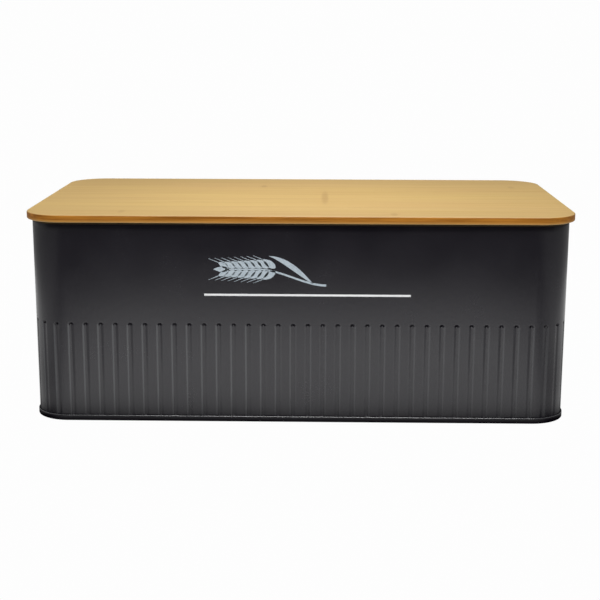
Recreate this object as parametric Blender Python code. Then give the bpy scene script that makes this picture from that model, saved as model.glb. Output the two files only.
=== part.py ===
"""Bread bin: a fluted sheet-steel body seamed to a pressed base, under a lift-off bamboo lid.

Metres, +Z up. X runs along the bin's length and -Y is its front. The origin is the middle of the
footprint, on the table. The lid board carries two battens that drop inside the rim and locate it.
"""

import math

import bmesh
import bpy
from mathutils import Vector

# Driving dimensions
LENGTH = 0.330  # lid, left to right
DEPTH = 0.180  # lid, front to back
HEIGHT = 0.1265  # table to lid top
LID_CORNER = 0.0241  # radius of the lid's corners in plan
LID_THICKNESS = 0.0045
LID_OVERHANG = 0.0032  # lid edge beyond the wall
SHEET = 0.0005  # steel gauge
GAP = 0.0003  # clearance between pieces that bear on each other

# Body wall: s is the distance round the wall from the middle of its front
WALL_LENGTH = LENGTH - 2 * LID_OVERHANG
WALL_DEPTH = DEPTH - 2 * LID_OVERHANG
WALL_CORNER = LID_CORNER - LID_OVERHANG
RIM_Z = HEIGHT - LID_THICKNESS - GAP
CURL_R = 0.0015  # outer radius of the inward curl along the rim
CURL_TURN = 270  # degrees of curl
CURL_STEPS = 6

FLUTE_PITCH = 0.00889
FLUTE_SHIFT = 0.0008  # the flutes start this far to the right of the middle of the front
FLUTE_WIDTH = 0.0032
FLUTE_SINK = 0.0007
FLUTE_SLOPE = 0.0008  # width of the sloping side between wall and flute floor
FLUTE_END_SLOPE = 0.0014
FLUTE_BOTTOM_Z = 0.0038
FLUTE_TOP_Z = 0.0612
FLUTES_PER_HALF = 53

SEAM_WIDTH = 0.0070  # lock seam up the middle of the rear wall
SEAM_RISE = 0.0005
SEAM_TOP_Z = 0.1165

# Base pan: a floor pressed above the table, whose edge folds round the wall's foot as a bead
BEAD_Z = 0.0034
BEAD_ROUND = 0.0004
FLOOR_Z = 0.0036
FLOOR_DISH = 0.0010  # the middle of the floor is pressed down by this much
FLOOR_DISH_MARGIN = 0.0140

# Lid
LID_EDGE = 0.0008
LID_CORNER_STEPS = 10
BATTEN_WIDTH = 0.0140
BATTEN_HEIGHT = 0.0060
BATTEN_PLAY = 0.0012  # between batten and rim curl
BATTEN_EDGE = 0.0008
BATTEN_CORNER_STEPS = 5
SCREW_SPACING = 0.1200  # along each batten
SCREW_SIDES = 16
SCREW_SHANK_R = 0.0015
SCREW_HEAD_R = 0.0028
SCREW_HEAD_DEPTH = 0.0016
SCREW_SINK = 0.0004  # head below the batten's face
SCREW_LENGTH = 0.0080
SCREW_TIP = 0.0014
RECESS_SPAN = 0.0030  # cross recess, tip to tip
RECESS_BLADE = 0.0007
RECESS_DEPTH = 0.0009


def clear_scene():
    for old in list(bpy.data.objects):
        bpy.data.objects.remove(old, do_unlink=True)


def make_material(name, colour, roughness, metallic):
    material = bpy.data.materials.new(name)
    material.use_nodes = True
    shader = material.node_tree.nodes["Principled BSDF"]
    shader.inputs["Base Color"].default_value = (*colour, 1)
    shader.inputs["Roughness"].default_value = roughness
    shader.inputs["Metallic"].default_value = metallic
    material.diffuse_color = (*colour, 1)
    return material


def make_object(name, bm, material, parent=None):
    """One named object from a finished bmesh, shaded smooth with its real edges kept sharp."""
    bmesh.ops.recalc_face_normals(bm, faces=bm.faces)
    mesh = bpy.data.meshes.new(name)
    bm.to_mesh(mesh)
    bm.free()
    mesh.shade_smooth()
    mesh.set_sharp_from_angle(angle=math.radians(35))
    if material:
        mesh.materials.append(material)
    obj = bpy.data.objects.new(name, mesh)
    bpy.context.scene.collection.objects.link(obj)
    if parent:
        obj.parent = parent
        obj.matrix_parent_inverse = parent.matrix_world.inverted()
    return obj


def make_cutter(name, bm):
    cutter = make_object(name, bm, None)
    cutter.hide_render = True
    cutter.display_type = "WIRE"
    return cutter


def cut(obj, cutter):
    modifier = obj.modifiers.new(cutter.name, "BOOLEAN")
    modifier.operation = "DIFFERENCE"
    modifier.solver = "EXACT"
    modifier.object = cutter


# The wall's plan: a rounded rectangle followed by distance


def wall_station(s, inset):
    """The plan point at distance s round the wall's outside, moved inwards by inset."""
    half_x = WALL_LENGTH / 2 - WALL_CORNER
    half_y = WALL_DEPTH / 2 - WALL_CORNER
    arc = WALL_CORNER * math.pi / 2
    side = 1 if s >= 0 else -1
    left = abs(s)
    if left <= half_x:
        return side * left, -WALL_DEPTH / 2 + inset
    left -= half_x
    if left <= arc:
        angle = left / WALL_CORNER
        reach = WALL_CORNER - inset
        return side * (half_x + reach * math.sin(angle)), -half_y - reach * math.cos(angle)
    left -= arc
    if left <= 2 * half_y:
        return side * (WALL_LENGTH / 2 - inset), -half_y + left
    left -= 2 * half_y
    if left <= arc:
        angle = left / WALL_CORNER
        reach = WALL_CORNER - inset
        return side * (half_x + reach * math.cos(angle)), half_y + reach * math.sin(angle)
    left -= arc
    return side * (half_x - left), WALL_DEPTH / 2 - inset


def half_perimeter():
    straight = WALL_LENGTH + WALL_DEPTH - 4 * WALL_CORNER
    return straight + WALL_CORNER * math.pi


def wall_columns():
    """(distance, kind) of each column round the wall. Kind says what starts there: flute, seam or wall."""
    columns = []
    for index in range(-FLUTES_PER_HALF, FLUTES_PER_HALF):
        centre = FLUTE_SHIFT + (index + 0.5) * FLUTE_PITCH
        columns.append((centre - FLUTE_WIDTH / 2, "flute"))
        columns.append((centre + FLUTE_WIDTH / 2, "wall"))
    rear = half_perimeter() - SEAM_WIDTH / 2
    return [*columns, (rear, "seam"), (-rear, "wall")]


def press_panel(bm, left, right, s_range, z_range, inset, sink, slopes):
    """A pressed panel between two columns of vertices: four sloping sides round a flat floor."""
    across, along = slopes
    low, high = z_range[0] + along, z_range[1] - along
    s_left, s_right = s_range[0] + across, s_range[1] - across
    floor = []
    for s, z in ((s_left, low), (s_right, low), (s_right, high), (s_left, high)):
        floor.append(bm.verts.new((*wall_station(s, inset + sink), z)))
    bm.faces.new(floor)
    bm.faces.new([left[0], right[0], floor[1], floor[0]])
    bm.faces.new([right[-1], left[-1], floor[3], floor[2]])
    bm.faces.new([*reversed(left), floor[0], floor[3]])
    bm.faces.new([*right, floor[2], floor[1]])


def wall_surface(bm, columns, inset, rows, seam_rise):
    """One face of the wall, from its foot to where the curl starts, with its flutes and seam."""
    grid = [[bm.verts.new((*wall_station(s, inset), z)) for z in rows] for s, _ in columns]
    count = len(columns)
    bottom, top, seam_top = 1, 2, 3
    for i, (s, kind) in enumerate(columns):
        here, there = grid[i], grid[(i + 1) % count]
        pressed = {"flute": (bottom, top), "seam": (bottom, seam_top)}.get(kind)
        if kind == "seam" and not seam_rise:
            pressed = None
        for row in range(len(rows) - 1):
            if pressed and pressed[0] <= row < pressed[1]:
                continue
            bm.faces.new([here[row], there[row], there[row + 1], here[row + 1]])
        if not pressed:
            continue
        first, last = pressed
        edges = here[first : last + 1], there[first : last + 1]
        z_range = rows[first], rows[last]
        if kind == "flute":
            slopes = FLUTE_SLOPE, FLUTE_END_SLOPE
            press_panel(bm, *edges, (s, s + FLUTE_WIDTH), z_range, inset, FLUTE_SINK, slopes)
        else:
            slopes = seam_rise, seam_rise
            press_panel(bm, *edges, (s, s + SEAM_WIDTH), z_range, inset, -seam_rise, slopes)
    return [column[0] for column in grid], [column[-1] for column in grid]


def bridge(bm, lower, upper):
    """Quads between two rings of vertices with the same count."""
    for i in range(len(lower)):
        j = (i + 1) % len(lower)
        bm.faces.new([lower[i], lower[j], upper[j], upper[i]])


def curl_rings(bm, columns, radius):
    """Rings of vertices along the curl, from the wall round to its free end."""
    centre_z = RIM_Z - CURL_R
    rings = []
    for step in range(1, CURL_STEPS + 1):
        turn = math.radians(CURL_TURN) * step / CURL_STEPS
        inset = CURL_R - radius * math.cos(turn)
        z = centre_z + radius * math.sin(turn)
        rings.append([bm.verts.new((*wall_station(s, inset), z)) for s, _ in columns])
    return rings


def tidy_flats(bm):
    """Merges the coplanar strips of the flat sides into single faces."""
    limit = math.radians(0.05)
    bmesh.ops.dissolve_limit(bm, angle_limit=limit, verts=bm.verts, edges=bm.edges)


def build_body_wall(steel):
    """The rolled sheet: fluted below, plain above, curled inwards along the rim, seamed at the rear."""
    bm = bmesh.new()
    columns = wall_columns()
    rows = [SHEET + GAP, FLUTE_BOTTOM_Z, FLUTE_TOP_Z, SEAM_TOP_Z, RIM_Z - CURL_R]
    outer_foot, outer_top = wall_surface(bm, columns, 0, rows, SEAM_RISE)
    inner_foot, inner_top = wall_surface(bm, columns, SHEET, rows, 0)
    bridge(bm, outer_foot, inner_foot)
    outer_rings = [outer_top, *curl_rings(bm, columns, CURL_R)]
    inner_rings = [inner_top, *curl_rings(bm, columns, CURL_R - SHEET)]
    for rings in (outer_rings, inner_rings):
        for lower, upper in zip(rings, rings[1:]):
            bridge(bm, lower, upper)
    bridge(bm, outer_rings[-1], inner_rings[-1])
    tidy_flats(bm)
    return make_object("body_wall", bm, steel)


def build_base_pan(steel):
    """The pressed base: a dished floor, a step down to the table, and the bead round the wall's foot."""
    outer = -GAP - SHEET
    inner = 2 * SHEET + GAP
    dish = inner + FLOOR_DISH_MARGIN
    under_z = FLOOR_Z - SHEET
    profile = [
        (dish + FLOOR_DISH, under_z - FLOOR_DISH),
        (dish, under_z),
        (inner + BEAD_ROUND, under_z),
        (inner, under_z - BEAD_ROUND),
        (inner, BEAD_ROUND),
        (inner - BEAD_ROUND, 0),
        (outer + BEAD_ROUND, 0),
        (outer, BEAD_ROUND),
        (outer, BEAD_Z - BEAD_ROUND),
        (outer + BEAD_ROUND / 2, BEAD_Z),
        (-GAP, BEAD_Z),
        (-GAP, SHEET),
        (SHEET + GAP, SHEET),
        (SHEET + GAP, under_z + SHEET / 4),
        (inner, FLOOR_Z),
        (dish, FLOOR_Z),
        (dish + FLOOR_DISH, FLOOR_Z - FLOOR_DISH),
    ]
    bm = bmesh.new()
    columns = wall_columns()
    rings = [
        [bm.verts.new((*wall_station(s, inset), z)) for s, _ in columns] for inset, z in profile
    ]
    for lower, upper in zip(rings, rings[1:]):
        bridge(bm, lower, upper)
    bm.faces.new(rings[0])
    bm.faces.new(rings[-1])
    tidy_flats(bm)
    return make_object("base_pan", bm, steel)


def rounded_plan(half_x, half_y, radius, steps):
    """Counter-clockwise points of a rounded rectangle round the origin."""
    points = []
    for quarter, (sx, sy) in enumerate(((1, -1), (1, 1), (-1, 1), (-1, -1))):
        for step in range(steps + 1):
            angle = math.radians(90 * (quarter - 1 + step / steps))
            x = sx * (half_x - radius) + radius * math.cos(angle)
            y = sy * (half_y - radius) + radius * math.sin(angle)
            points.append((x, y))
    return points


def slab(levels):
    """A closed solid from plan outlines at rising heights, all with the same number of points."""
    bm = bmesh.new()
    rings = [[bm.verts.new((x, y, z)) for x, y in plan] for plan, z in levels]
    for lower, upper in zip(rings, rings[1:]):
        bridge(bm, lower, upper)
    bm.faces.new(rings[0])
    bm.faces.new(rings[-1])
    return bm


def build_lid_board(bamboo, lid):
    """The bamboo board, with eased edges and four blind pilot holes for the batten screws."""

    def plan(inset):
        half_x, half_y = LENGTH / 2 - inset, DEPTH / 2 - inset
        return rounded_plan(half_x, half_y, LID_CORNER - inset, LID_CORNER_STEPS)

    low, high = HEIGHT - LID_THICKNESS, HEIGHT
    ease = LID_EDGE * (1 - math.cos(math.radians(45)))
    bm = slab(
        [
            (plan(LID_EDGE), low),
            (plan(ease), low + ease),
            (plan(0), low + LID_EDGE),
            (plan(0), high - LID_EDGE),
            (plan(ease), high - ease),
            (plan(LID_EDGE), high),
        ]
    )
    return make_object("lid_board", bm, bamboo, lid)


def batten_centre_x():
    return WALL_LENGTH / 2 - 2 * CURL_R - BATTEN_PLAY - BATTEN_WIDTH / 2


def batten_plan(side, inset):
    """Outline of a batten, its outer corners rounded to follow the rim's inside."""
    clear = 2 * CURL_R + BATTEN_PLAY + inset
    corner = WALL_CORNER - clear
    inner_x = batten_centre_x() - BATTEN_WIDTH / 2 + inset
    centre_x, centre_y = WALL_LENGTH / 2 - WALL_CORNER, WALL_DEPTH / 2 - WALL_CORNER
    start = math.asin((inner_x - centre_x) / corner)
    points = []
    for step in range(BATTEN_CORNER_STEPS + 1):
        angle = start + (math.pi / 2 - start) * step / BATTEN_CORNER_STEPS
        points.append((centre_x + corner * math.sin(angle), -centre_y - corner * math.cos(angle)))
    points += [(x, -y) for x, y in reversed(points)]
    return [(side * x, y) for x, y in points]


def build_batten(name, side, bamboo, lid):
    """One locating batten under the lid, with its lower edges eased."""
    top = HEIGHT - LID_THICKNESS - GAP
    bottom = top - BATTEN_HEIGHT
    levels = [
        (batten_plan(side, BATTEN_EDGE), bottom),
        (batten_plan(side, 0), bottom + BATTEN_EDGE),
        (batten_plan(side, 0), top),
    ]
    return make_object(name, slab(levels), bamboo, lid)


def turned(profile, sides, centre):
    """A solid of revolution about a vertical axis, from (radius, z) points that rise."""
    bm = bmesh.new()
    rings = []
    for radius, z in profile:
        ring = []
        for i in range(sides):
            angle = 2 * math.pi * i / sides
            point = Vector((radius * math.cos(angle), radius * math.sin(angle), z))
            ring.append(bm.verts.new(centre + point))
        rings.append(ring)
    for lower, upper in zip(rings, rings[1:]):
        bridge(bm, lower, upper)
    bm.faces.new(rings[0])
    bm.faces.new(rings[-1])
    return bm


def screw_profile(clearance, overrun):
    """(radius, height) up a countersunk screw from its head, or of the hole that clears it."""
    head = SCREW_HEAD_R + clearance
    shank = SCREW_SHANK_R + clearance
    end = SCREW_LENGTH + clearance
    return [
        (head, -overrun),
        (head, clearance / 2),
        (shank, SCREW_HEAD_DEPTH),
        (shank, end - SCREW_TIP),
        (shank / 4, end),
    ]


def cross_recess(centre):
    """Two crossed blades, joined, that cut the recess into a screw head."""
    span, blade = RECESS_SPAN / 2, RECESS_BLADE / 2
    plan = []
    for turn in range(4):
        cosine, sine = round(math.cos(turn * math.pi / 2)), round(math.sin(turn * math.pi / 2))
        for x, y in ((span, -blade), (span, blade), (blade, blade)):
            plan.append((centre.x + x * cosine - y * sine, centre.y + x * sine + y * cosine))
    return slab([(plan, centre.z - RECESS_DEPTH), (plan, centre.z + RECESS_DEPTH)])


def build_screw(name, centre, steel, lid):
    screw = make_object(name, turned(screw_profile(0, 0), SCREW_SIDES, centre), steel, lid)
    cut(screw, make_cutter(name + "_recess", cross_recess(centre)))
    return screw


def build_lid(bamboo, zinc):
    """The lid assembly, on an empty at the origin of its lift."""
    lid = bpy.data.objects.new("lid_lift", None)
    lid.location = (0, 0, HEIGHT - LID_THICKNESS)
    bpy.context.scene.collection.objects.link(lid)
    bpy.context.view_layer.update()
    board = build_lid_board(bamboo, lid)
    head_z = HEIGHT - LID_THICKNESS - GAP - BATTEN_HEIGHT + SCREW_SINK
    for side, side_name in ((-1, "left"), (1, "right")):
        batten = build_batten("lid_batten_" + side_name, side, bamboo, lid)
        for end, end_name in ((-1, "front"), (1, "rear")):
            label = side_name + "_" + end_name
            centre = Vector((side * batten_centre_x(), end * SCREW_SPACING / 2, head_z))
            hole = turned(screw_profile(GAP, 2 * SCREW_SINK), SCREW_SIDES, centre)
            cutter = make_cutter("screw_hole_" + label, hole)
            cut(batten, cutter)
            cut(board, cutter)
            build_screw("batten_screw_" + label, centre, zinc, lid)


def main():
    clear_scene()
    steel = make_material("painted_steel", (0.030, 0.030, 0.033), 0.55, 0.0)
    bamboo = make_material("bamboo", (0.62, 0.40, 0.15), 0.50, 0.0)
    zinc = make_material("zinc_plated_steel", (0.60, 0.60, 0.58), 0.35, 1.0)
    build_body_wall(steel)
    build_base_pan(steel)
    build_lid(bamboo, zinc)


main()
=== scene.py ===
"""Looks of the bread bin: fine sheet metal, laminated bamboo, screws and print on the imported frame."""

import math

import bmesh
import bpy
from mathutils import Matrix, Vector


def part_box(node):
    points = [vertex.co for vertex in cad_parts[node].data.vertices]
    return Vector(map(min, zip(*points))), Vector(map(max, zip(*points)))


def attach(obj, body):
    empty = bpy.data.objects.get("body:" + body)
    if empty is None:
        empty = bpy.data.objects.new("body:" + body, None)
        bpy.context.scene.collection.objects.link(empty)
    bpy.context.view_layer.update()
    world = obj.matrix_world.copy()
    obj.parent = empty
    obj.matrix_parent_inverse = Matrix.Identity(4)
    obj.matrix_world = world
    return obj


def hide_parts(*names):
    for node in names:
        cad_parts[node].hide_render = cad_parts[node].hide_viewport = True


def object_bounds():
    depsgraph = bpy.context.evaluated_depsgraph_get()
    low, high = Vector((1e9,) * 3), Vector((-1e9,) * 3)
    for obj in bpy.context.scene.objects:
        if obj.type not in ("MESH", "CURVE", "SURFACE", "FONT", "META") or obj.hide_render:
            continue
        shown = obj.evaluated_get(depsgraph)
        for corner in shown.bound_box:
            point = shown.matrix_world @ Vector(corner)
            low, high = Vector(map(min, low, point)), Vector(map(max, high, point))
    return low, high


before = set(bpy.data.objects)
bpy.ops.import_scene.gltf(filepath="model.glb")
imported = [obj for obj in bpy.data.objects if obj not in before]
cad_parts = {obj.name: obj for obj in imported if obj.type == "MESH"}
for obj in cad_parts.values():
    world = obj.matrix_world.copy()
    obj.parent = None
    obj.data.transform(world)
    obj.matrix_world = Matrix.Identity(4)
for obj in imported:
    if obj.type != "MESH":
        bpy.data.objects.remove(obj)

MM = 0.001

# Sheet metal, as the CAD part has it
WALL_CORNER = 20.9 * MM
SHEET = 0.5 * MM
GAP = 0.3 * MM
CURL_R = 1.5 * MM
CURL_TURN = 270
CURL_STEPS = 8
FLUTE_PITCH = 8.89 * MM
FLUTE_SHIFT = 0.8 * MM
FLUTE_HALF_WIDTH = 1.7 * MM
FLUTE_SINK = 0.45 * MM
FLUTE_SLOPE = 1.5 * MM
FLUTE_FOOT = 0.45 * MM  # height over which a flute comes back out at its foot
PIT_DEPTH = 0.95 * MM  # the punched hollow at the top of each flute
PIT_Z = 60.4 * MM
PIT_HALF_WIDTH = 1.6 * MM
PIT_HALF_HEIGHT = 0.9 * MM
PIT_STEEPNESS = 1.15
FINE_HALF_WIDTH = 2.45 * MM  # fine columns reach this far from a flute's middle
TOP_ZONE = 2.4 * MM  # fine rows reach this far below the flutes' tops

# Painted highlights: a pale line down each edge of a flute, as (edge away from the wall's middle, edge
# towards it), with their own strengths within LINE_MIDDLE of the middle and a fade near the foot
LINE_OFFSET = 1.7 * MM
LINE_WIDTH = 0.75 * MM
LINE_LEFT = (0.85, 0.06)
LINE_RIGHT = (0.40, 0.10)
LINE_CENTRE = (0.45, 0.18)
LINE_MIDDLE = 30 * MM
LINE_FADE = 14 * MM
LINE_AT_FOOT = 0.35
INSIDE_PAINTED_LIGHT = 0.35  # painted light: the coat inside the bin, drawn paler so that it can be made out
FLUTE_BOTTOM_Z = 3.5 * MM
FLUTE_TOP_Z = 61.2 * MM
FLUTES_PER_HALF = 53
SEAM_HALF_WIDTH = 3.5 * MM
SEAM_SLOPE = 0.5 * MM
SEAM_RISE = 0.48 * MM
SEAM_TOP_Z = 116.5 * MM
SEAM_FOLD = 2.3 * MM  # the visible edge of the fold, from the seam's middle
SEAM_FOLD_DEPTH = 0.22 * MM
SEAM_FOLD_WIDTH = 0.35 * MM

# Base
BEAD_Z = 3.4 * MM
FLOOR_Z = 3.6 * MM
FLOOR_DISH = 1.0 * MM
FLOOR_DISH_MARGIN = 14.0 * MM
BASE_CORNER_STEPS = 28

# Lid
LID_CORNER = 24.1 * MM
LID_EDGE = 0.8 * MM
LID_CORNER_STEPS = 32
BATTEN_EDGE = 0.9 * MM
BATTEN_END_STEPS = 14
SCREW_SIDES = 48
SCREW_HEAD_R = 2.8 * MM
SCREW_SHANK_R = 1.5 * MM
SCREW_HEAD_DEPTH = 1.6 * MM
SCREW_LENGTH = 8.0 * MM

# Bamboo: strips glued side by side, and the growth nodes seen on the board's top
STRIP_WIDTH = 19.34 * MM
FIRST_JOINT = -51.1 * MM
FIRST_STRIP, LAST_STRIP = -3, 7  # counted from the strip behind FIRST_JOINT
STRIP_TINTS = (  # from the front strip to the rear one, 0 yellow and 1 pinkish
    (0.0, 0.8),
    (0.1, 0.9),
    (0.2, 0.6),
    (0.3, 0.05),
    (0.4, 0.2),
    (0.5, 0.0),
    (0.6, 0.15),
    (0.7, 0.1),
    (0.8, 0.7),
    (0.9, 1.0),
    (1.0, 0.9),
)
GROWTH_NODES = (  # middle x and y, half length along the fibres, half width
    (-27.0, 48.0, 3.0, 8.0),
    (15.0, -8.0, 3.2, 42.0),
    (143.0, 48.0, 3.0, 8.0),
    (56.0, -80.0, 3.0, 8.0),
    (-107.0, -73.0, 3.0, 8.0),
)

# Floor. The camera sees plain white. The bin sees a pool of light that stands in for the studio's own
# lighting: (distance from the bin's outline / POOL_REACH, strength), dimmer past the bin's ends, and a
# second band by (distance from the middle / FAR_REACH, strength) far out at the sides.
FLOOR_SIZE = 8.0
WHITE = 0.985
POOL_REACH = 0.50
POOL = (
    (0.0, 0.0),
    (0.015, 0.12),
    (0.05, 0.54),
    (0.10, 0.79),
    (0.20, 0.85),
    (0.40, 1.0),
    (0.58, 0.88),
    (0.68, 0.54),
    (0.80, 0.0),
)
POOL_LIGHT = 1.68
CENTRE_END_X = 0.15
SIDE_START_X = 0.22
SIDE_POOL = 0.45
FAR_REACH = 0.60
FAR_SIDES = ((0.48, 0.0), (0.62, 0.16), (0.75, 0.30), (0.90, 0.36), (1.0, 0.30))

# Painted light and shade at the foot, by height / FOOT_REACH: the seam's face is duller, its shoulder
# pale and glossy, and the crease above it nearly without sheen, up to the plain coat
FOOT_REACH = 5.0 * MM
FOOT_SHEEN = (
    (0.0, 0.45),
    (0.60, 0.45),
    (0.64, 1.0),
    (0.68, 1.0),
    (0.69, 0.05),
    (0.75, 0.05),
    (0.80, 0.5),
)
FOOT_PAINTED_HIGHLIGHT = ((0.61, 0.0), (0.64, 1.0), (0.68, 1.0), (0.69, 0.0))

# Print on the front
PRINT_THICKNESS = 0.06 * MM
PRINT_LIFT = 0.01 * MM
RULE_LEFT = -56.6 * MM
RULE_RIGHT = 66.3 * MM
RULE_Z = 78.7 * MM
RULE_HEIGHT = 1.25 * MM

CAD_LOW, CAD_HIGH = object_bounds()
WALL_LOW, WALL_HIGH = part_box("body_wall")
LID_LOW, LID_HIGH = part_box("lid_board")
WALL_HALF_X = WALL_HIGH.x
WALL_HALF_Y = -WALL_LOW.y
RIM_Z = WALL_HIGH.z


# Camera, light and floor


def make_camera():
    """The camera in front of the bin, a little above it and turned slightly to the left."""
    yaw, pitch, roll = -0.01834, 0.21637, 0.00261
    forward = Vector(
        (math.sin(yaw) * math.cos(pitch), math.cos(yaw) * math.cos(pitch), -math.sin(pitch))
    )
    right = Vector((math.cos(yaw), -math.sin(yaw), 0))
    up = right.cross(forward)
    rolled_right = right * math.cos(roll) + up * math.sin(roll)
    rolled_up = up * math.cos(roll) - right * math.sin(roll)
    camera = bpy.data.objects.new("camera", bpy.data.cameras.new("camera"))
    turn = Matrix((rolled_right, rolled_up, -forward)).transposed()
    camera.matrix_world = Matrix.Translation((0.01391, -0.81947, 0.23688)) @ turn.to_4x4()
    camera.data.lens = 75.596
    camera.data.sensor_width = 36
    bpy.context.scene.collection.objects.link(camera)
    bpy.context.scene.camera = camera


def make_softbox(name, location, target, size, power):
    light = bpy.data.lights.new(name, "AREA")
    light.shape = "RECTANGLE"
    light.size, light.size_y = size
    light.energy = power
    holder = bpy.data.objects.new(name, light)
    holder.location = location
    aim = Vector(target) - Vector(location)
    holder.rotation_euler = aim.to_track_quat("-Z", "Y").to_euler()
    holder.visible_camera = False
    bpy.context.scene.collection.objects.link(holder)


def make_lights():
    """A large key high above the camera, a smaller softbox over the lid and a weak one at each side."""
    make_softbox("key", (0.05, -0.75, 1.45), (0, 0, 0.05), (0.8, 0.6), 16.2)
    make_softbox("over_lid", (0.0, -0.02, 0.80), (0, -0.02, 0), (0.20, 0.20), 2.75)
    make_softbox("left", (-0.75, 0.15, 0.40), (0, 0.15, 0.10), (1.1, 0.75), 0.6)
    make_softbox("right", (0.75, 0.15, 0.40), (0, 0.15, 0.10), (1.1, 0.75), 0.35)


def make_world():
    """White behind the object, and a nearly dark studio for everything that the light reaches."""
    world = bpy.data.worlds.new("studio")
    world.use_nodes = True
    bpy.context.scene.world = world
    nodes, links = world.node_tree.nodes, world.node_tree.links
    nodes.clear()
    path = nodes.new("ShaderNodeLightPath")
    backdrop = nodes.new("ShaderNodeBackground")
    backdrop.inputs["Color"].default_value = (WHITE, WHITE, WHITE, 1)
    room = nodes.new("ShaderNodeBackground")
    room.inputs["Color"].default_value = (0.95, 0.97, 1, 1)
    room.inputs["Strength"].default_value = 0.015
    mix = nodes.new("ShaderNodeMixShader")
    output = nodes.new("ShaderNodeOutputWorld")
    links.new(path.outputs["Is Camera Ray"], mix.inputs[0])
    links.new(room.outputs[0], mix.inputs[1])
    links.new(backdrop.outputs[0], mix.inputs[2])
    links.new(mix.outputs[0], output.inputs["Surface"])


def make_floor():
    """A floor that is plain white to the camera and a pool of light, dark at the foot, to the bin."""
    bm = bmesh.new()
    bmesh.ops.create_grid(bm, x_segments=1, y_segments=1, size=FLOOR_SIZE / 2)
    mesh = bpy.data.meshes.new("studio_floor")
    bm.to_mesh(mesh)
    bm.free()
    floor = bpy.data.objects.new("studio_floor", mesh)
    floor.location.z = CAD_LOW.z - 0.1 * MM
    bpy.context.scene.collection.objects.link(floor)
    paint = Paint("floor_paint", roughness=1.0)
    place = paint.place()
    outside = paint.vector("SUBTRACT", paint.vector("ABSOLUTE", place), (WALL_HALF_X, WALL_HALF_Y, 1))
    outside = paint.vector("MAXIMUM", outside, (0, 0, 0))
    away = paint.node("ShaderNodeVectorMath", {0: outside}, operation="LENGTH")["Value"]
    pool = paint.ramp(paint.math("DIVIDE", away, POOL_REACH), POOL)
    parts = paint.node("ShaderNodeSeparateXYZ", {"Vector": place})
    aside = paint.math("ABSOLUTE", parts["X"])
    centre = paint.fit(aside, CENTRE_END_X, SIDE_START_X, 1.0, SIDE_POOL)
    glow = paint.math("MULTIPLY", paint.math("MULTIPLY", pool, centre), POOL_LIGHT)
    glow = paint.math("ADD", glow, paint.ramp(paint.math("DIVIDE", aside, FAR_REACH), FAR_SIDES))
    camera = paint.node("ShaderNodeLightPath")["Is Camera Ray"]
    strength = paint.fit(camera, 0, 1, glow, WHITE)
    paint.shader.inputs["Base Color"].default_value = (0, 0, 0, 1)
    paint.shader.inputs["Specular IOR Level"].default_value = 0.0
    paint.shader.inputs["Emission Color"].default_value = (1, 1, 1, 1)
    paint.link(strength, paint.shader.inputs["Emission Strength"])
    mesh.materials.append(paint.material)


# Materials


class Paint:
    """A material being made: node() adds a node, sets or links its inputs and returns its outputs."""

    def __init__(self, name, roughness, metallic=0.0):
        self.material = bpy.data.materials.new(name)
        self.material.use_nodes = True
        self.tree = self.material.node_tree
        self.shader = self.tree.nodes["Principled BSDF"]
        self.shader.inputs["Roughness"].default_value = roughness
        self.shader.inputs["Metallic"].default_value = metallic

    def link(self, output, socket):
        self.tree.links.new(output, socket)

    def node(self, kind, inputs=None, **settings):
        made = self.tree.nodes.new(kind)
        for name, value in settings.items():
            setattr(made, name, value)
        for name, value in (inputs or {}).items():
            if isinstance(value, bpy.types.NodeSocket):
                self.link(value, made.inputs[name])
            else:
                made.inputs[name].default_value = value
        return made.outputs

    def place(self, scale=(1, 1, 1), turn=(0, 0, 0), shift=(0, 0, 0)):
        """Object coordinates in metres, moved, turned and scaled."""
        raw = self.node("ShaderNodeTexCoord")["Object"]
        inputs = {"Vector": raw, "Location": shift, "Rotation": turn, "Scale": scale}
        return self.node("ShaderNodeMapping", inputs)["Vector"]

    def noise(self, vector, scale, detail=2.0, rough=0.5):
        inputs = {"Vector": vector, "Scale": scale, "Detail": detail, "Roughness": rough}
        return self.node("ShaderNodeTexNoise", inputs)["Fac"]

    def math(self, operation, a, b=0.0):
        return self.node("ShaderNodeMath", {0: a, 1: b}, operation=operation)["Value"]

    def fit(self, value, low, high, to_low=0.0, to_high=1.0, smooth=False):
        """Maps low..high to to_low..to_high, held at both ends."""
        inputs = {
            "Value": value,
            "From Min": low,
            "From Max": high,
            "To Min": to_low,
            "To Max": to_high,
        }
        kind = "SMOOTHSTEP" if smooth else "LINEAR"
        return self.node("ShaderNodeMapRange", inputs, interpolation_type=kind)["Result"]

    def vector(self, operation, a, b=(0, 0, 0)):
        return self.node("ShaderNodeVectorMath", {0: a, 1: b}, operation=operation)["Vector"]

    def ramp(self, value, stops):
        """Grey values read off a curve of straight lines through (position, value) stops."""
        made = self.tree.nodes.new("ShaderNodeValToRGB")
        elements = made.color_ramp.elements
        while len(elements) < len(stops):
            elements.new(0.5)
        for element, (position, grey) in zip(elements, stops):
            element.position = position
            element.color = (grey, grey, grey, 1)
        self.link(value, made.inputs["Fac"])
        return made.outputs["Color"]

    def blend(self, share, a, b):
        """Colour a where share is 0 and b where it is 1."""
        mix = self.tree.nodes.new("ShaderNodeMix")
        mix.data_type = "RGBA"
        for index, value in ((0, share), (6, a), (7, b)):
            if isinstance(value, bpy.types.NodeSocket):
                self.link(value, mix.inputs[index])
            else:
                mix.inputs[index].default_value = value if index == 0 else (*value, 1)
        return mix.outputs[2]

    def colour(self, output):
        self.link(output, self.shader.inputs["Base Color"])

    def roughness(self, output):
        self.link(output, self.shader.inputs["Roughness"])

    def bump(self, height, depth, strength=1.0):
        """Bump from a height of 0 to 1 that stands for depth metres."""
        inputs = {"Height": height, "Distance": depth, "Strength": strength}
        self.link(self.node("ShaderNodeBump", inputs)["Normal"], self.shader.inputs["Normal"])


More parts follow.
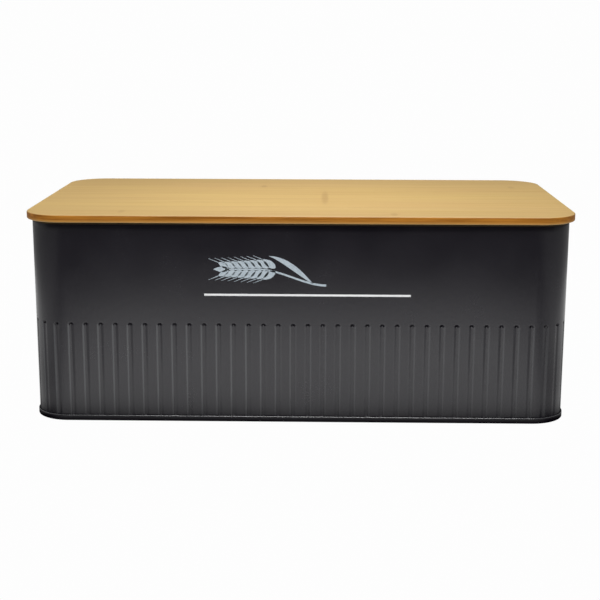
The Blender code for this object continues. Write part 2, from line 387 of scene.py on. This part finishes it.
def powder_coat():
    """Charcoal powder coat: fine grain over a slow orange peel, with painted highlights and painted light
    from the mesh's painted_light attribute, and painted light and shade at the foot.
    """
    paint = Paint("charcoal_powder_coat", roughness=0.25)
    paint.shader.inputs["IOR"].default_value = 1.55
    place = paint.place()
    cloud = paint.noise(place, 35, detail=3)
    grain = paint.noise(place, 1600, detail=2, rough=0.6)
    peel = paint.noise(place, 320, detail=1)
    tone = paint.math("ADD", paint.math("MULTIPLY", cloud, 0.55), paint.math("MULTIPLY", grain, 0.45))
    share = paint.fit(tone, 0.35, 0.65)
    coat = paint.blend(share, (0.0054, 0.0042, 0.0082), (0.0088, 0.0072, 0.0120))
    # painted_light holds painted highlights along the flutes' edges and painted light on the coat inside
    painted_light = paint.node("ShaderNodeAttribute", attribute_name="painted_light")["Fac"]
    coat = paint.blend(painted_light, coat, (0.085, 0.088, 0.092))
    parts = paint.node("ShaderNodeSeparateXYZ", {"Vector": place})
    foot = paint.math("DIVIDE", parts["Z"], FOOT_REACH)
    # painted highlight along the seam's shoulder
    coat = paint.blend(paint.ramp(foot, FOOT_PAINTED_HIGHLIGHT), coat, (0.09, 0.09, 0.095))
    paint.colour(coat)
    paint.roughness(paint.fit(tone, 0.3, 0.7, 0.22, 0.28))
    sparkle = paint.fit(grain, 0.3, 0.7, 0.82, 1.18)
    # painted sheen by height: bright on the seam's shoulder, painted shade in the crease above it
    sheen = paint.math("MULTIPLY", paint.ramp(foot, FOOT_SHEEN), sparkle)
    paint.link(sheen, paint.shader.inputs["Specular IOR Level"])
    height = paint.math("ADD", paint.math("MULTIPLY", grain, 0.35), peel)
    paint.bump(height, 0.03 * MM, 0.5)
    return paint.material


def bamboo(name, along="X", board=True):
    """Laminated bamboo: strips with fibres along them, glue lines, growth nodes and darker cut edges."""
    paint = Paint(name, roughness=0.42)
    quarter = math.pi / 2 if along == "Y" else 0
    place = paint.place(turn=(0, 0, quarter))
    parts = paint.node("ShaderNodeSeparateXYZ", {"Vector": place})
    across = paint.math("DIVIDE", paint.math("SUBTRACT", parts["Y"], FIRST_JOINT), STRIP_WIDTH)
    strip = paint.math("FLOOR", across)
    tint = paint.ramp(paint.fit(strip, FIRST_STRIP, LAST_STRIP), STRIP_TINTS)

    slope = (0.01, 0.004, 0.006)
    fibre_place = paint.place(scale=(9, 420, 420), turn=(slope[0], slope[1], slope[2] + quarter))
    fibre = paint.noise(fibre_place, 1, detail=3, rough=0.65)
    streak_place = paint.place(scale=(3.5, 75, 75), turn=(0, slope[1], quarter))
    streak = paint.noise(streak_place, 1, detail=2)
    patch_place = paint.place(scale=(7, 26, 26), turn=(0, 0, quarter))
    patch = paint.noise(patch_place, 1, detail=2)

    light, warm, deep = (0.80, 0.565, 0.23), (0.74, 0.51, 0.195), (0.52, 0.32, 0.105)
    base = paint.blend(paint.fit(streak, 0.3, 0.7), light, warm)
    base = paint.blend(paint.math("MULTIPLY", tint, 0.75), base, (0.70, 0.475, 0.205))
    base = paint.blend(paint.fit(fibre, 0.52, 0.80, 0, 0.55), base, deep)
    base = paint.blend(paint.fit(patch, 0.45, 0.75, 0, 0.30), base, (0.72, 0.44, 0.22))

    if board:
        base = growth_nodes(paint, place, base)
        base = darker_ends(paint, place, base)
    joint = paint.math("ABSOLUTE", paint.math("SUBTRACT", paint.math("FRACT", across), 0.5))
    near_joint = paint.fit(joint, 0.475, 0.5, 0, 1, smooth=True)
    base = paint.blend(paint.math("MULTIPLY", near_joint, 0.45), base, (0.40, 0.23, 0.08))

    paint.colour(edge_colour(paint, parts["Z"], quarter, base))
    paint.roughness(paint.fit(fibre, 0.3, 0.8, 0.36, 0.52))
    paint.bump(fibre, 0.04 * MM, 0.5)
    return paint.material


def edge_colour(paint, height, quarter, base):
    """The wood's colour, with cut edges that are darker and duller, and paler along their lowest part as a
    painted reflection of the floor.
    """
    side = paint.node("ShaderNodeSeparateXYZ", {"Vector": paint.node("ShaderNodeTexCoord")["Normal"]})
    upright = paint.math("ABSOLUTE", side["Z"])
    is_edge = paint.fit(upright, 0.35, 0.8, 1, 0, smooth=True)
    paint.link(paint.fit(is_edge, 0, 1, 0.5, 0.12), paint.shader.inputs["Specular IOR Level"])
    edge_place = paint.place(scale=(30, 260, 700), turn=(0.0, 0.012, quarter), shift=(0.31, 0, 0))
    edge_grain = paint.noise(edge_place, 1, detail=3, rough=0.6)
    edge = paint.blend(paint.fit(edge_grain, 0.32, 0.68), (0.30, 0.108, 0.012), (0.56, 0.225, 0.030))
    # painted reflection of the white floor along the lowest part of the cut edges
    painted_reflection = paint.fit(height, LID_LOW.z + 1.0 * MM, LID_LOW.z + 1.8 * MM, 0.55, 0, smooth=True)
    edge = paint.blend(painted_reflection, edge, (0.66, 0.34, 0.085))
    return paint.blend(is_edge, base, edge)


def growth_nodes(paint, place, base):
    """The board's colour with its growth nodes, soft darker bars across the fibres."""
    for x, y, half_length, half_width in GROWTH_NODES:
        off = paint.vector("SUBTRACT", place, (x * MM, y * MM, LID_HIGH.z))
        off = paint.vector("MULTIPLY", off, (1 / (half_length * MM), 1 / (half_width * MM), 0))
        away = paint.node("ShaderNodeVectorMath", {0: off}, operation="LENGTH")["Value"]
        base = paint.blend(paint.fit(away, 0.3, 1.0, 0.36, 0, smooth=True), base, (0.44, 0.25, 0.10))
    return base


def darker_ends(paint, place, base):
    """The board's colour, painted darker from its middle outwards to stand in for the light's fall-off."""
    level = paint.vector("MULTIPLY", place, (1, 1, 0))
    away = paint.node("ShaderNodeVectorMath", {0: level}, operation="LENGTH")["Value"]
    return paint.blend(paint.fit(away, 0.03, 0.17, 0, 0.30, smooth=True), base, (0.42, 0.28, 0.11))


def zinc():
    """Bright zinc plate with faint turning marks and a slight yellow passivation."""
    paint = Paint("zinc_plate", roughness=0.3, metallic=1.0)
    place = paint.place()
    cloud = paint.noise(place, 900, detail=2)
    paint.colour(paint.blend(cloud, (0.62, 0.61, 0.57), (0.74, 0.74, 0.73)))
    paint.roughness(paint.fit(cloud, 0.3, 0.7, 0.24, 0.42))
    paint.bump(paint.noise(place, 4000, detail=1), 0.01 * MM, 0.5)
    return paint.material


def print_ink(name, thin, full):
    """Screen-printed ink: slightly uneven cover from a noise, which also sets its roughness and a slight
    bump.
    """
    paint = Paint(name, roughness=0.5)
    place = paint.place()
    cover = paint.noise(place, 700, detail=3, rough=0.6)
    paint.colour(paint.blend(paint.fit(cover, 0.35, 0.6), thin, full))
    paint.roughness(paint.fit(cover, 0.3, 0.7, 0.42, 0.58))
    paint.bump(cover, 0.02 * MM, 0.4)
    return paint.material


# Mesh tools


def make_piece(name, vertices, faces, material, body, sharp=38):
    """An object from plain mesh data, with its faces turned outwards, riding on a CAD body."""
    mesh = bpy.data.meshes.new(name)
    mesh.from_pydata([tuple(v) for v in vertices], [], faces)
    bm = bmesh.new()
    bm.from_mesh(mesh)
    bmesh.ops.recalc_face_normals(bm, faces=bm.faces)
    bm.to_mesh(mesh)
    bm.free()
    mesh.shade_smooth()
    mesh.set_sharp_from_angle(angle=math.radians(sharp))
    mesh.materials.append(material)
    piece = bpy.data.objects.new(name, mesh)
    bpy.context.scene.collection.objects.link(piece)
    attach(piece, body)
    return piece


def ring_faces(rings, count, closed):
    """Quads between neighbouring rings of count vertices, and from the last to the first if closed."""
    last = rings if closed else rings - 1
    faces = []
    for r in range(last):
        here, there = r * count, (r + 1) % rings * count
        for i in range(count):
            j = (i + 1) % count
            faces.append((here + i, here + j, there + j, there + i))
    return faces


def capped_rings(rings):
    """Vertices and faces of a solid from rings of points, with a flat cap on the first and last ring."""
    count = len(rings[0])
    vertices = [point for ring in rings for point in ring]
    faces = ring_faces(len(rings), count, False)
    faces.append(tuple(range(count)))
    faces.append(tuple(range(len(vertices) - count, len(vertices))))
    return vertices, faces


def smoothstep(t):
    t = min(1.0, max(0.0, t))
    return t * t * (3 - 2 * t)


# Sheet metal


def half_track():
    straight = 2 * (WALL_HALF_X + WALL_HALF_Y) - 4 * WALL_CORNER
    return straight + WALL_CORNER * math.pi


def track(s):
    """Point on the wall's outside and its outward normal, at distance s from the middle of the front."""
    flat_x, flat_y = WALL_HALF_X - WALL_CORNER, WALL_HALF_Y - WALL_CORNER
    arc = WALL_CORNER * math.pi / 2
    side = 1 if s >= 0 else -1
    left = abs(s)
    if left <= flat_x:
        return Vector((s, -WALL_HALF_Y, 0)), Vector((0, -1, 0))
    left -= flat_x
    if left <= arc:
        angle = left / WALL_CORNER
        normal = Vector((side * math.sin(angle), -math.cos(angle), 0))
        return Vector((side * flat_x, -flat_y, 0)) + normal * WALL_CORNER, normal
    left -= arc
    if left <= 2 * flat_y:
        return Vector((side * WALL_HALF_X, left - flat_y, 0)), Vector((side, 0, 0))
    left -= 2 * flat_y
    if left <= arc:
        angle = left / WALL_CORNER
        normal = Vector((side * math.cos(angle), math.sin(angle), 0))
        return Vector((side * flat_x, flat_y, 0)) + normal * WALL_CORNER, normal
    left -= arc
    return Vector((side * (flat_x - left), WALL_HALF_Y, 0)), Vector((0, 1, 0))


def flute_depth(s, z):
    """How far the wall is pressed in at a point: round-topped grooves, each with a hollow at its top."""
    index = math.floor((s - FLUTE_SHIFT) / FLUTE_PITCH)
    if not -FLUTES_PER_HALF <= index < FLUTES_PER_HALF:
        return 0.0
    across = s - FLUTE_SHIFT - (index + 0.5) * FLUTE_PITCH
    past_top = z - (FLUTE_TOP_Z - FLUTE_HALF_WIDTH)
    reach = math.hypot(across, max(past_top, 0.0))
    groove = FLUTE_SINK * smoothstep((FLUTE_HALF_WIDTH - reach) / FLUTE_SLOPE)
    groove *= smoothstep((z - FLUTE_BOTTOM_Z) / FLUTE_FOOT)
    off_pit = math.hypot(across / PIT_HALF_WIDTH, (z - PIT_Z) / PIT_HALF_HEIGHT)
    return groove + PIT_DEPTH * smoothstep(PIT_STEEPNESS * (1 - off_pit))


def edge_line(s, z):
    """How strong the painted highlight is at a point of the wall's outside."""
    index = math.floor((s - FLUTE_SHIFT) / FLUTE_PITCH)
    if not -FLUTES_PER_HALF <= index < FLUTES_PER_HALF or z > FLUTE_TOP_Z - TOP_ZONE / 2:
        return 0.0
    across = s - FLUTE_SHIFT - (index + 0.5) * FLUTE_PITCH
    centred = 1 - min(1.0, abs(s) / LINE_MIDDLE)
    which = 0 if across * s > 0 else 1
    side = (LINE_LEFT if s < 0 else LINE_RIGHT)[which]
    strength = side + (LINE_CENTRE[which] - side) * centred
    line = smoothstep(1 - abs(abs(across) - LINE_OFFSET) / LINE_WIDTH)
    above_foot = smoothstep((z - FLUTE_BOTTOM_Z) / LINE_FADE)
    return strength * line * (LINE_AT_FOOT + (1 - LINE_AT_FOOT) * above_foot)


def seam_height(s, z):
    """How far the lock seam stands out of the rear wall, with the crease along its folded edge."""
    across = abs(s) - half_track()
    across = across if s > 0 else -across
    edge = min(SEAM_HALF_WIDTH - abs(across), z - FLUTE_BOTTOM_Z, SEAM_TOP_Z - z)
    height = SEAM_RISE * smoothstep(edge / SEAM_SLOPE)
    crease = smoothstep(1 - abs(across - SEAM_FOLD) / SEAM_FOLD_WIDTH)
    return height * (1 - SEAM_FOLD_DEPTH / SEAM_RISE * crease)


def wall_distances():
    """Where the wall's columns of vertices stand: close together in each flute, further apart between."""
    steps, rest = 12, 2
    distances = []
    gap = FLUTE_PITCH - 2 * FINE_HALF_WIDTH
    for index in range(-FLUTES_PER_HALF, FLUTES_PER_HALF):
        middle = FLUTE_SHIFT + (index + 0.5) * FLUTE_PITCH
        for step in range(steps):
            distances.append(middle + FINE_HALF_WIDTH * (2 * step / steps - 1))
        for step in range(rest):
            distances.append(middle + FINE_HALF_WIDTH + gap * step / rest)
    rear = half_track()
    seam_steps = 16
    reach = SEAM_HALF_WIDTH + SEAM_SLOPE
    for step in range(seam_steps + 1):
        offset = reach * (2 * step / seam_steps - 1)
        distances.append(rear + offset if offset <= 0 else offset - rear)
    return sorted(distances)


def wall_heights():
    """Heights of the wall's rows: close together at the flutes' and seam's ends, few where it is plain."""
    support = 0.12 * MM  # rows this far past an end keep its shading from spreading over tall faces
    heights = [SHEET + GAP, BEAD_Z, FLUTE_BOTTOM_Z + FLUTE_FOOT + support]
    heights += [FLUTE_TOP_Z + support, FLUTE_TOP_Z + 5 * support]
    heights += [FLUTE_TOP_Z - TOP_ZONE - support, FLUTE_TOP_Z - TOP_ZONE - 5 * support]
    heights += [SEAM_TOP_Z + support, SEAM_TOP_Z - SEAM_SLOPE - support]
    foot_steps, top_steps = 3, 10
    heights += [FLUTE_BOTTOM_Z + FLUTE_FOOT * step / foot_steps for step in range(foot_steps + 1)]
    heights += [SEAM_TOP_Z - SEAM_SLOPE * step / foot_steps for step in range(foot_steps + 1)]
    heights += [FLUTE_TOP_Z - TOP_ZONE * step / top_steps for step in range(top_steps + 1)]
    plain_rows = (10, 20, 40, 85)
    heights += [z * MM for z in plain_rows]
    return sorted(heights) + [RIM_Z - CURL_R]


def wall_profile():
    """(inset, height, follows the flutes) round the sheet's section, from the outer foot up and back."""
    straight = wall_heights()
    outer = [(0.0, z, True) for z in straight]
    coarse = straight[:-1:2] + straight[-1:]
    inner = [(SHEET, z, True) for z in reversed(coarse)]
    out_curl, in_curl = [], []
    centre_z = RIM_Z - CURL_R
    for step in range(1, CURL_STEPS + 1):
        turn = math.radians(CURL_TURN) * step / CURL_STEPS
        for radius, curl in ((CURL_R, out_curl), (CURL_R - SHEET, in_curl)):
            inset = CURL_R - radius * math.cos(turn)
            curl.append((inset, centre_z + radius * math.sin(turn), False))
    return [*outer, *out_curl, *reversed(in_curl), *inner]


def build_wall(coat):
    """The fluted wall with its rolled rim and its lock seam, as one closed sheet."""
    places = [(s, *track(s)) for s in wall_distances()]
    vertices, painted_light = [], []
    profile = wall_profile()
    for inset, z, pressed in profile:
        outside = pressed and inset == 0
        for s, point, normal in places:
            depth = inset
            if pressed:
                depth += flute_depth(s, z)
            if outside:
                depth -= seam_height(s, z)
            vertices.append(point - normal * depth + Vector((0, 0, z)))
            # painted highlight along the flutes' edges outside, painted light on the coat inside
            inside_painted_light = INSIDE_PAINTED_LIGHT if pressed else 0.0
            painted_light.append(edge_line(s, z) if outside else inside_painted_light)
    faces = ring_faces(len(profile), len(places), True)
    wall = make_piece("fluted_wall", vertices, faces, coat, "bin")
    wall.data.attributes.new("painted_light", "FLOAT", "POINT").data.foreach_set("value", painted_light)
    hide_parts("body_wall")


def base_distances():
    """Distances round the wall for a plain outline: the ends of the flats and steps round the corners."""
    flat_x, flat_y = WALL_HALF_X - WALL_CORNER, WALL_HALF_Y - WALL_CORNER
    arc = WALL_CORNER * math.pi / 2
    half = []
    for start in (flat_x, flat_x + arc + 2 * flat_y):
        half += [start + arc * step / BASE_CORNER_STEPS for step in range(BASE_CORNER_STEPS + 1)]
    return [-s for s in reversed(half)] + half


def arc_points(centre, radius, start, end, steps):
    """Points on an arc in the section plane (inset, height), angles in degrees from +inset."""
    points = []
    for step in range(steps + 1):
        angle = math.radians(start + (end - start) * step / steps)
        points.append((centre[0] + radius * math.cos(angle), centre[1] + radius * math.sin(angle)))
    return points


def base_profile():
    """Section of the base sheet: dished floor, step, bead under and round the wall's foot, and back."""
    outer = -GAP - SHEET
    inner = 2 * SHEET + GAP
    round_r = 0.45 * MM
    under_z = FLOOR_Z - SHEET
    dish_start = inner + FLOOR_DISH_MARGIN
    dish_width = 2.4 * MM
    dish_steps = 8
    under, over = [], []
    for step in range(dish_steps + 1):
        share = step / dish_steps
        drop = FLOOR_DISH * smoothstep(share)
        under.append((dish_start + share * dish_width, under_z - drop))
        over.append((dish_start + share * dish_width, FLOOR_Z - drop))
    under.reverse()
    step_out = arc_points((inner + round_r, under_z - round_r), round_r, 90, 180, 4)
    toe = arc_points((inner - round_r, round_r), round_r, 0, -90, 5)
    heel = arc_points((outer + round_r, round_r), round_r, 270, 180, 5)
    shoulder = arc_points((outer + round_r, BEAD_Z - round_r), round_r, 180, 90, 6)
    lip = [(-GAP, BEAD_Z - 0.05 * MM), (-GAP, SHEET), (SHEET + GAP, SHEET)]
    rise_r = 2 * SHEET
    rise = arc_points((SHEET + GAP + rise_r, FLOOR_Z - rise_r), rise_r, 180, 90, 6)
    return [*under, *step_out, *toe, *heel, *shoulder, *lip, *rise, *over]


def build_base(coat):
    places = [track(s) for s in base_distances()]
    rings = []
    for inset, z in base_profile():
        rings.append([point - normal * inset + Vector((0, 0, z)) for point, normal in places])
    vertices, faces = capped_rings(rings)
    base = make_piece("seamed_base", vertices, faces, coat, "bin")
    painted_light = []
    # painted light on the coat inside the base
    for inset, _ in base_profile():
        painted_light += [INSIDE_PAINTED_LIGHT if inset > SHEET + GAP else 0.0] * len(places)
    base.data.attributes.new("painted_light", "FLOAT", "POINT").data.foreach_set("value", painted_light)
    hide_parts("base_pan")


# Lid


def rounded_plan(half_x, half_y, radius, steps):
    """Counter-clockwise points of a rounded rectangle."""
    points = []
    for quarter, (sx, sy) in enumerate(((1, -1), (1, 1), (-1, 1), (-1, -1))):
        for step in range(steps + 1):
            angle = math.radians(90 * (quarter - 1 + step / steps))
            x = sx * (half_x - radius) + radius * math.cos(angle)
            y = sy * (half_y - radius) + radius * math.sin(angle)
            points.append((x, y))
    return points


def eased_levels(low, high, radius, steps):
    """(inset, height) up the side of a board whose two edges are rounded."""
    levels = []
    for step in range(steps + 1):
        angle = math.pi / 2 * step / steps
        levels.append((radius * (1 - math.sin(angle)), low + radius * (1 - math.cos(angle))))
    return levels + [(inset, low + high - z) for inset, z in reversed(levels)]


def build_board(wood):
    rings = []
    for inset, z in eased_levels(LID_LOW.z, LID_HIGH.z, LID_EDGE, 6):
        half_x, half_y = LID_HIGH.x - inset, LID_HIGH.y - inset
        plan = rounded_plan(half_x, half_y, LID_CORNER - inset, LID_CORNER_STEPS)
        rings.append([(x, y, z) for x, y in plan])
    vertices, faces = capped_rings(rings)
    board = make_piece("bamboo_board", vertices, faces, wood, "lid")
    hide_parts("lid_board")


def batten_plan(node, side, inset):
    """Outline of a batten in its CAD box, with ends that follow the rim's corner."""
    low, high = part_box(node)
    outer_x = max(abs(low.x), abs(high.x)) - inset
    inner_x = min(abs(low.x), abs(high.x)) + inset
    centre_x, centre_y = WALL_HALF_X - WALL_CORNER, WALL_HALF_Y - WALL_CORNER
    corner = outer_x - centre_x
    start = math.asin((inner_x - centre_x) / corner)
    points = []
    for step in range(BATTEN_END_STEPS + 1):
        angle = start + (math.pi / 2 - start) * step / BATTEN_END_STEPS
        points.append((centre_x + corner * math.sin(angle), -centre_y - corner * math.cos(angle)))
    points += [(x, -y) for x, y in reversed(points)]
    return [(side * x, y) for x, y in points]


def screw_shape(head_z, clearance=0.0, overrun=0.0):
    """(radius, height) up a countersunk screw from its head, or up the hole that clears it."""
    head = SCREW_HEAD_R + clearance
    shank = SCREW_SHANK_R + clearance
    tip_z = head_z + SCREW_LENGTH
    return [
        (head, head_z - overrun),
        (head, head_z + 0.2 * MM),
        (shank, head_z + SCREW_HEAD_DEPTH),
        (shank, tip_z - 2.2 * MM),
        (shank / 5, tip_z),
    ]


def turned_rings(shape, x, y, sides):
    rings = []
    for radius, z in shape:
        angles = [2 * math.pi * i / sides for i in range(sides)]
        rings.append([(x + radius * math.cos(a), y + radius * math.sin(a), z) for a in angles])
    return rings


def cut_away(piece, cutters):
    """Cuts closed shapes out of a piece and keeps the result as its mesh."""
    for vertices, faces in cutters:
        mesh = bpy.data.meshes.new("cutter")
        mesh.from_pydata(vertices, [], faces)
        bm = bmesh.new()
        bm.from_mesh(mesh)
        bmesh.ops.recalc_face_normals(bm, faces=bm.faces)
        bm.to_mesh(mesh)
        bm.free()
        cutter = bpy.data.objects.new("cutter", mesh)
        bpy.context.scene.collection.objects.link(cutter)
        modifier = piece.modifiers.new("cut", "BOOLEAN")
        modifier.operation = "DIFFERENCE"
        modifier.solver = "EXACT"
        modifier.object = cutter
        bpy.context.view_layer.update()
        evaluated = piece.evaluated_get(bpy.context.evaluated_depsgraph_get())
        result = bpy.data.meshes.new_from_object(evaluated)
        piece.modifiers.clear()
        piece.data = result
        bpy.data.objects.remove(cutter, do_unlink=True)


def build_batten(side, side_name, wood, screw_nodes):
    node = "lid_batten_" + side_name
    low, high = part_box(node)
    rings = []
    for inset, z in eased_levels(low.z, high.z, BATTEN_EDGE, 5)[: 6 + 1]:
        rings.append([(x, y, z) for x, y in batten_plan(node, side, inset)])
    rings[-1] = [(x, y, high.z) for x, y, _ in rings[-1]]
    vertices, faces = capped_rings(rings)
    batten = make_piece("bamboo_batten_" + side_name, vertices, faces, wood, "lid")
    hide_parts(node)
    holes = []
    for screw_node in screw_nodes:
        x, y, head_z = screw_place(screw_node)
        shape = screw_shape(head_z, clearance=GAP, overrun=2 * MM)
        holes.append(capped_rings(turned_rings(shape, x, y, SCREW_SIDES)))
    cut_away(batten, holes)


def screw_place(node):
    low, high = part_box(node)
    return (low.x + high.x) / 2, (low.y + high.y) / 2, low.z


def cross_blades(x, y, head_z):
    """The cross recess as two tapered blades."""
    span, blade, depth = 1.5 * MM, 0.36 * MM, 1.0 * MM
    blades = []
    for wide, deep in (((1, 0), (0, 1)), ((0, 1), (1, 0))):
        rings = []
        for taper, z in ((1.1, head_z - 0.3 * MM), (0.55, head_z + depth)):
            ring = []
            for a, b in ((-1, -1), (1, -1), (1, 1), (-1, 1)):
                along, aside = a * span * taper, b * blade * taper
                px = x + along * wide[0] + aside * deep[0]
                py = y + along * wide[1] + aside * deep[1]
                ring.append((px, py, z))
            rings.append(ring)
        blades.append(capped_rings(rings))
    return blades


def build_screw(node, metal):
    x, y, head_z = screw_place(node)
    vertices, faces = capped_rings(turned_rings(screw_shape(head_z), x, y, SCREW_SIDES))
    name = node.replace("batten_screw", "lid_screw")
    screw = make_piece(name, vertices, faces, metal, "lid")
    cut_away(screw, cross_blades(x, y, head_z))
    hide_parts(node)


# Print


def flat_shape(outline):
    """A closed sliver of ink on the front wall from an outline of (x, z) points."""
    near = -WALL_HALF_Y - PRINT_LIFT
    rings = []
    for y in (near, near - PRINT_THICKNESS):
        rings.append([(x, y, z) for x, z in outline])
    return capped_rings(rings)


def join_shapes(shapes):
    vertices, faces = [], []
    for some_vertices, some_faces in shapes:
        start = len(vertices)
        vertices += some_vertices
        faces += [tuple(start + i for i in face) for face in some_faces]
    return vertices, faces


def grain_outline(x, z, length, width, angle, steps=14):
    """A pointed oval from its base at (x, z), leaning at angle from +X."""
    points = []
    for side in (1, -1):
        for step in range(steps):
            share = step / steps if side == 1 else 1 - step / steps
            half = width / 2 * math.sin(math.pi * share ** 0.8) ** 0.9 if 0 < share < 1 else 0.0
            along, aside = share * length, side * half
            px = x + along * math.cos(angle) - aside * math.sin(angle)
            pz = z + along * math.sin(angle) + aside * math.cos(angle)
            points.append((px, pz))
    return points


def taper_outline(points, start_width, end_width):
    """A strip along (x, z) points whose width changes evenly."""
    left, right = [], []
    for i, (x, z) in enumerate(points):
        before, after = points[max(i - 1, 0)], points[min(i + 1, len(points) - 1)]
        run, rise = after[0] - before[0], after[1] - before[1]
        length = math.hypot(run, rise)
        half = (start_width + (end_width - start_width) * i / (len(points) - 1)) / 2
        left.append((x - rise / length * half, z + run / length * half))
        right.append((x + rise / length * half, z - run / length * half))
    return left + right[::-1]


def build_prints():
    """A plain ear of wheat lying above a straight rule."""
    rule = [
        (RULE_LEFT, RULE_Z - RULE_HEIGHT / 2),
        (RULE_RIGHT, RULE_Z - RULE_HEIGHT / 2),
        (RULE_RIGHT, RULE_Z + RULE_HEIGHT / 2),
        (RULE_LEFT, RULE_Z + RULE_HEIGHT / 2),
    ]
    white = print_ink("white_ink", (0.93, 0.94, 0.95), (0.98, 0.98, 0.98))
    vertices, faces = flat_shape(rule)
    make_piece("printed_rule", vertices, faces, white, "bin")

    grey = print_ink("pale_ink", (0.44, 0.52, 0.58), (0.54, 0.62, 0.68))
    vertices, faces = join_shapes([flat_shape(outline) for outline in wheat_outlines()])
    make_piece("printed_wheat_ear", vertices, faces, grey, "bin")


def wheat_outlines():
    """Outlines of the ear: its stalk, a leaf, paired grains with awns, and the end grain."""
    stalk_end, head_start, tip = 16.0 * MM, -14.0 * MM, -56.0 * MM
    base_z, head_z = 84.7 * MM, 94.2 * MM
    outlines = []

    def stalk_point(share):
        x = stalk_end + (tip + 12 * MM - stalk_end) * share
        rise = smoothstep(min(1.0, share * 1.5))
        return x, base_z + (head_z - base_z) * rise

    outlines.append(taper_outline([stalk_point(i / 24) for i in range(25)], 1.3 * MM, 0.8 * MM))
    pairs = 8
    for pair in range(pairs):
        share = pair / (pairs - 1)
        x = head_start + (tip + 14 * MM - head_start) * share
        size = 1 - 0.25 * share
        for side in (1, -1):
            lean = math.pi - side * math.radians(34 - 6 * share)
            root_z = head_z + side * 0.9 * MM
            length, width = 9.5 * MM * size, 4.1 * MM * size
            outlines.append(grain_outline(x, root_z, length, width, lean))
            start_x = x + length * 0.93 * math.cos(lean)
            start_z = root_z + length * 0.93 * math.sin(lean)
            reach = 6.5 * MM
            awn_lean = math.pi - side * math.radians(22)
            end = (start_x + reach * math.cos(awn_lean), start_z + reach * math.sin(awn_lean))
            outlines.append(taper_outline([(start_x, start_z), end], 0.45 * MM, 0.15 * MM))
    outlines.append(grain_outline(tip + 14.5 * MM, head_z, 9.5 * MM, 3.4 * MM, math.pi))
    leaf = []
    for i in range(13):
        share = i / 12
        leaf.append((8 * MM - 26 * MM * share, 85.7 * MM + 17 * MM * math.sin(1.35 * share)))
    outlines.append(leaf_outline(leaf, 3.2 * MM))
    return outlines


def leaf_outline(spine, width):
    """A long pointed leaf along a spine of (x, z) points."""
    upper, lower = [], []
    for i, (x, z) in enumerate(spine):
        before, after = spine[max(i - 1, 0)], spine[min(i + 1, len(spine) - 1)]
        run, rise = after[0] - before[0], after[1] - before[1]
        length = math.hypot(run, rise)
        half = width / 2 * math.sin(math.pi * (0.04 + 0.95 * i / (len(spine) - 1)))
        upper.append((x - rise / length * half, z + run / length * half))
        lower.append((x + rise / length * half, z - run / length * half))
    return upper + lower[::-1]


def main():
    bpy.context.scene.view_settings.view_transform = "Standard"
    make_camera()
    make_lights()
    make_world()
    make_floor()
    coat = powder_coat()
    build_wall(coat)
    build_base(coat)
    build_board(bamboo("bamboo_board_wood"))
    batten_wood = bamboo("bamboo_batten_wood", along="Y", board=False)
    metal = zinc()
    for side, side_name in ((-1, "left"), (1, "right")):
        screws = [f"batten_screw_{side_name}_{end}" for end in ("front", "rear")]
        build_batten(side, side_name, batten_wood, screws)
        for screw in screws:
            build_screw(screw, metal)
    build_prints()


main()
